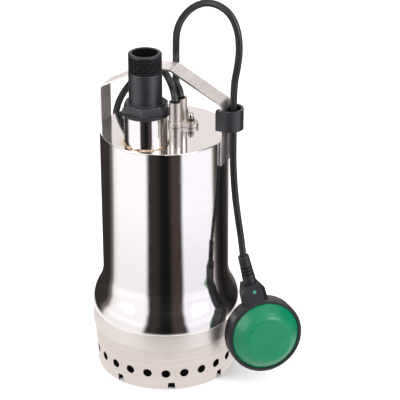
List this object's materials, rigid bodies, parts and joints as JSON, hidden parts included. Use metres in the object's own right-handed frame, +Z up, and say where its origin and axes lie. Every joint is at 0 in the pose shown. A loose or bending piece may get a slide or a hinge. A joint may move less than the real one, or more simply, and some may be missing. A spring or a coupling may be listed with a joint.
{
  "type": "submersible sump pump",
  "caption": "Stainless submersible sump pump with bell-shaped base, strainer foot, threaded hose adaptor, strap handle and a swinging float switch on a cable.",
  "frame": {"origin": "on the floor, under the pump's axis, at the centre of the strainer foot's ring", "axes": "+Z up along the motor shaft; -Y is the side of the discharge socket and cable gland; +X is towards the float switch"},
  "size_m": [0.2754, 0.3981, 0.5113],
  "materials": {
    "polished_stainless": "mirror polished",
    "brushed_stainless": "satin brushed",
    "bright_steel": "machined",
    "black_polymer": "moulded, satin",
    "green_polymer": "moulded, satin gloss",
    "black_rubber": "moulded, matt",
    "cast_iron": "machined casting",
    "motor_laminations": "stacked laminations",
    "copper_winding": "varnished",
    "aluminium": "cast",
    "ceramic": "lapped",
    "white_polymer": "moulded",
    "plug_brass": "nickel plated"
  },
  "bodies": {
    "pump": {"outer_casing": "polished_stainless", "top_cover": "polished_stainless", "strainer": "brushed_stainless", "casing_gasket": "black_rubber", "suction_plate": "brushed_stainless", "diffuser": "black_polymer", "oil_chamber": "cast_iron", "oil_plug": "bright_steel", "seal_seat": "ceramic", "lip_seal": "black_rubber", "lower_bearing_bracket": "cast_iron", "upper_bearing_bracket": "cast_iron", "bearing_outer_rings": "bright_steel", "stator_core": "motor_laminations", "stator_windings": "copper_winding", "motor_shell": "bright_steel", "motor_lid": "bright_steel", "cable_duct": "brushed_stainless", "motor_spacers": "bright_steel", "tie_studs": "bright_steel", "stud_nuts": "bright_steel", "capacitor": "white_polymer", "discharge_socket": "polished_stainless", "socket_weld": "brushed_stainless", "discharge_gasket": "black_rubber", "hose_adaptor": "black_polymer", "gland_stub": "brushed_stainless", "gland_gasket": "black_rubber", "gland_cap": "brushed_stainless", "gland_grommet": "black_rubber", "gland_bolts": "bright_steel", "gland_nuts": "bright_steel", "handle": "brushed_stainless", "cable_clip": "black_rubber", "float_cable_loop": "black_rubber", "float_cable_bend": "black_rubber", "mains_cable": "black_rubber", "mains_coil": "black_rubber", "coil_tie": "black_polymer", "mains_tail": "black_rubber", "mains_plug": "black_polymer", "plug_pins": "plug_brass"},
    "rotor": {"shaft": "bright_steel", "rotor_core": "motor_laminations", "rotor_end_rings": "aluminium", "impeller": "black_polymer", "impeller_nut": "bright_steel", "seal_rotating_ring": "ceramic", "bearing_inner_rings": "bright_steel", "bearing_balls": "bright_steel"},
    "float": {"float_cable_drop": "black_rubber", "float_bend_protector": "black_rubber", "float_housing": "black_polymer", "float_cover": "green_polymer", "float_seal": "black_rubber", "float_pin": "green_polymer", "switch_carrier": "white_polymer", "microswitch": "black_polymer"},
    "ball": {"switch_ball": "bright_steel"},
    "lever": {"switch_lever": "bright_steel"}
  },
  "joints": [
    {"name": "rotor_spin", "type": "hinge", "parent": "pump", "child": "rotor", "pos_m": [0, 0, 0.2], "axis": [0, 0, 1], "continuous": true},
    {"name": "float_swing", "type": "hinge", "parent": "pump", "child": "float", "pos_m": [0.0861, -0.04015, 0.341], "axis": [-0.4226, -0.9063, 0], "range_deg": [0, 110], "deforming": ["float_cable_bend"]},
    {"name": "ball_travel", "type": "slide", "parent": "float", "child": "ball", "axis": [-0.2357, 0.0654, 0.9696], "range_m": [0, 0.018]},
    {"name": "lever_tilt", "type": "hinge", "parent": "float", "child": "lever", "pos_m": [0.11441, -0.06713, 0.07846], "axis": [0.27, -0.954, 0.13], "range_deg": [0, 6]}
  ],
  "couplings": [
    {"joint": "lever_tilt", "follows": "ball_travel", "rad_per_m": 5.8178}
  ]
}
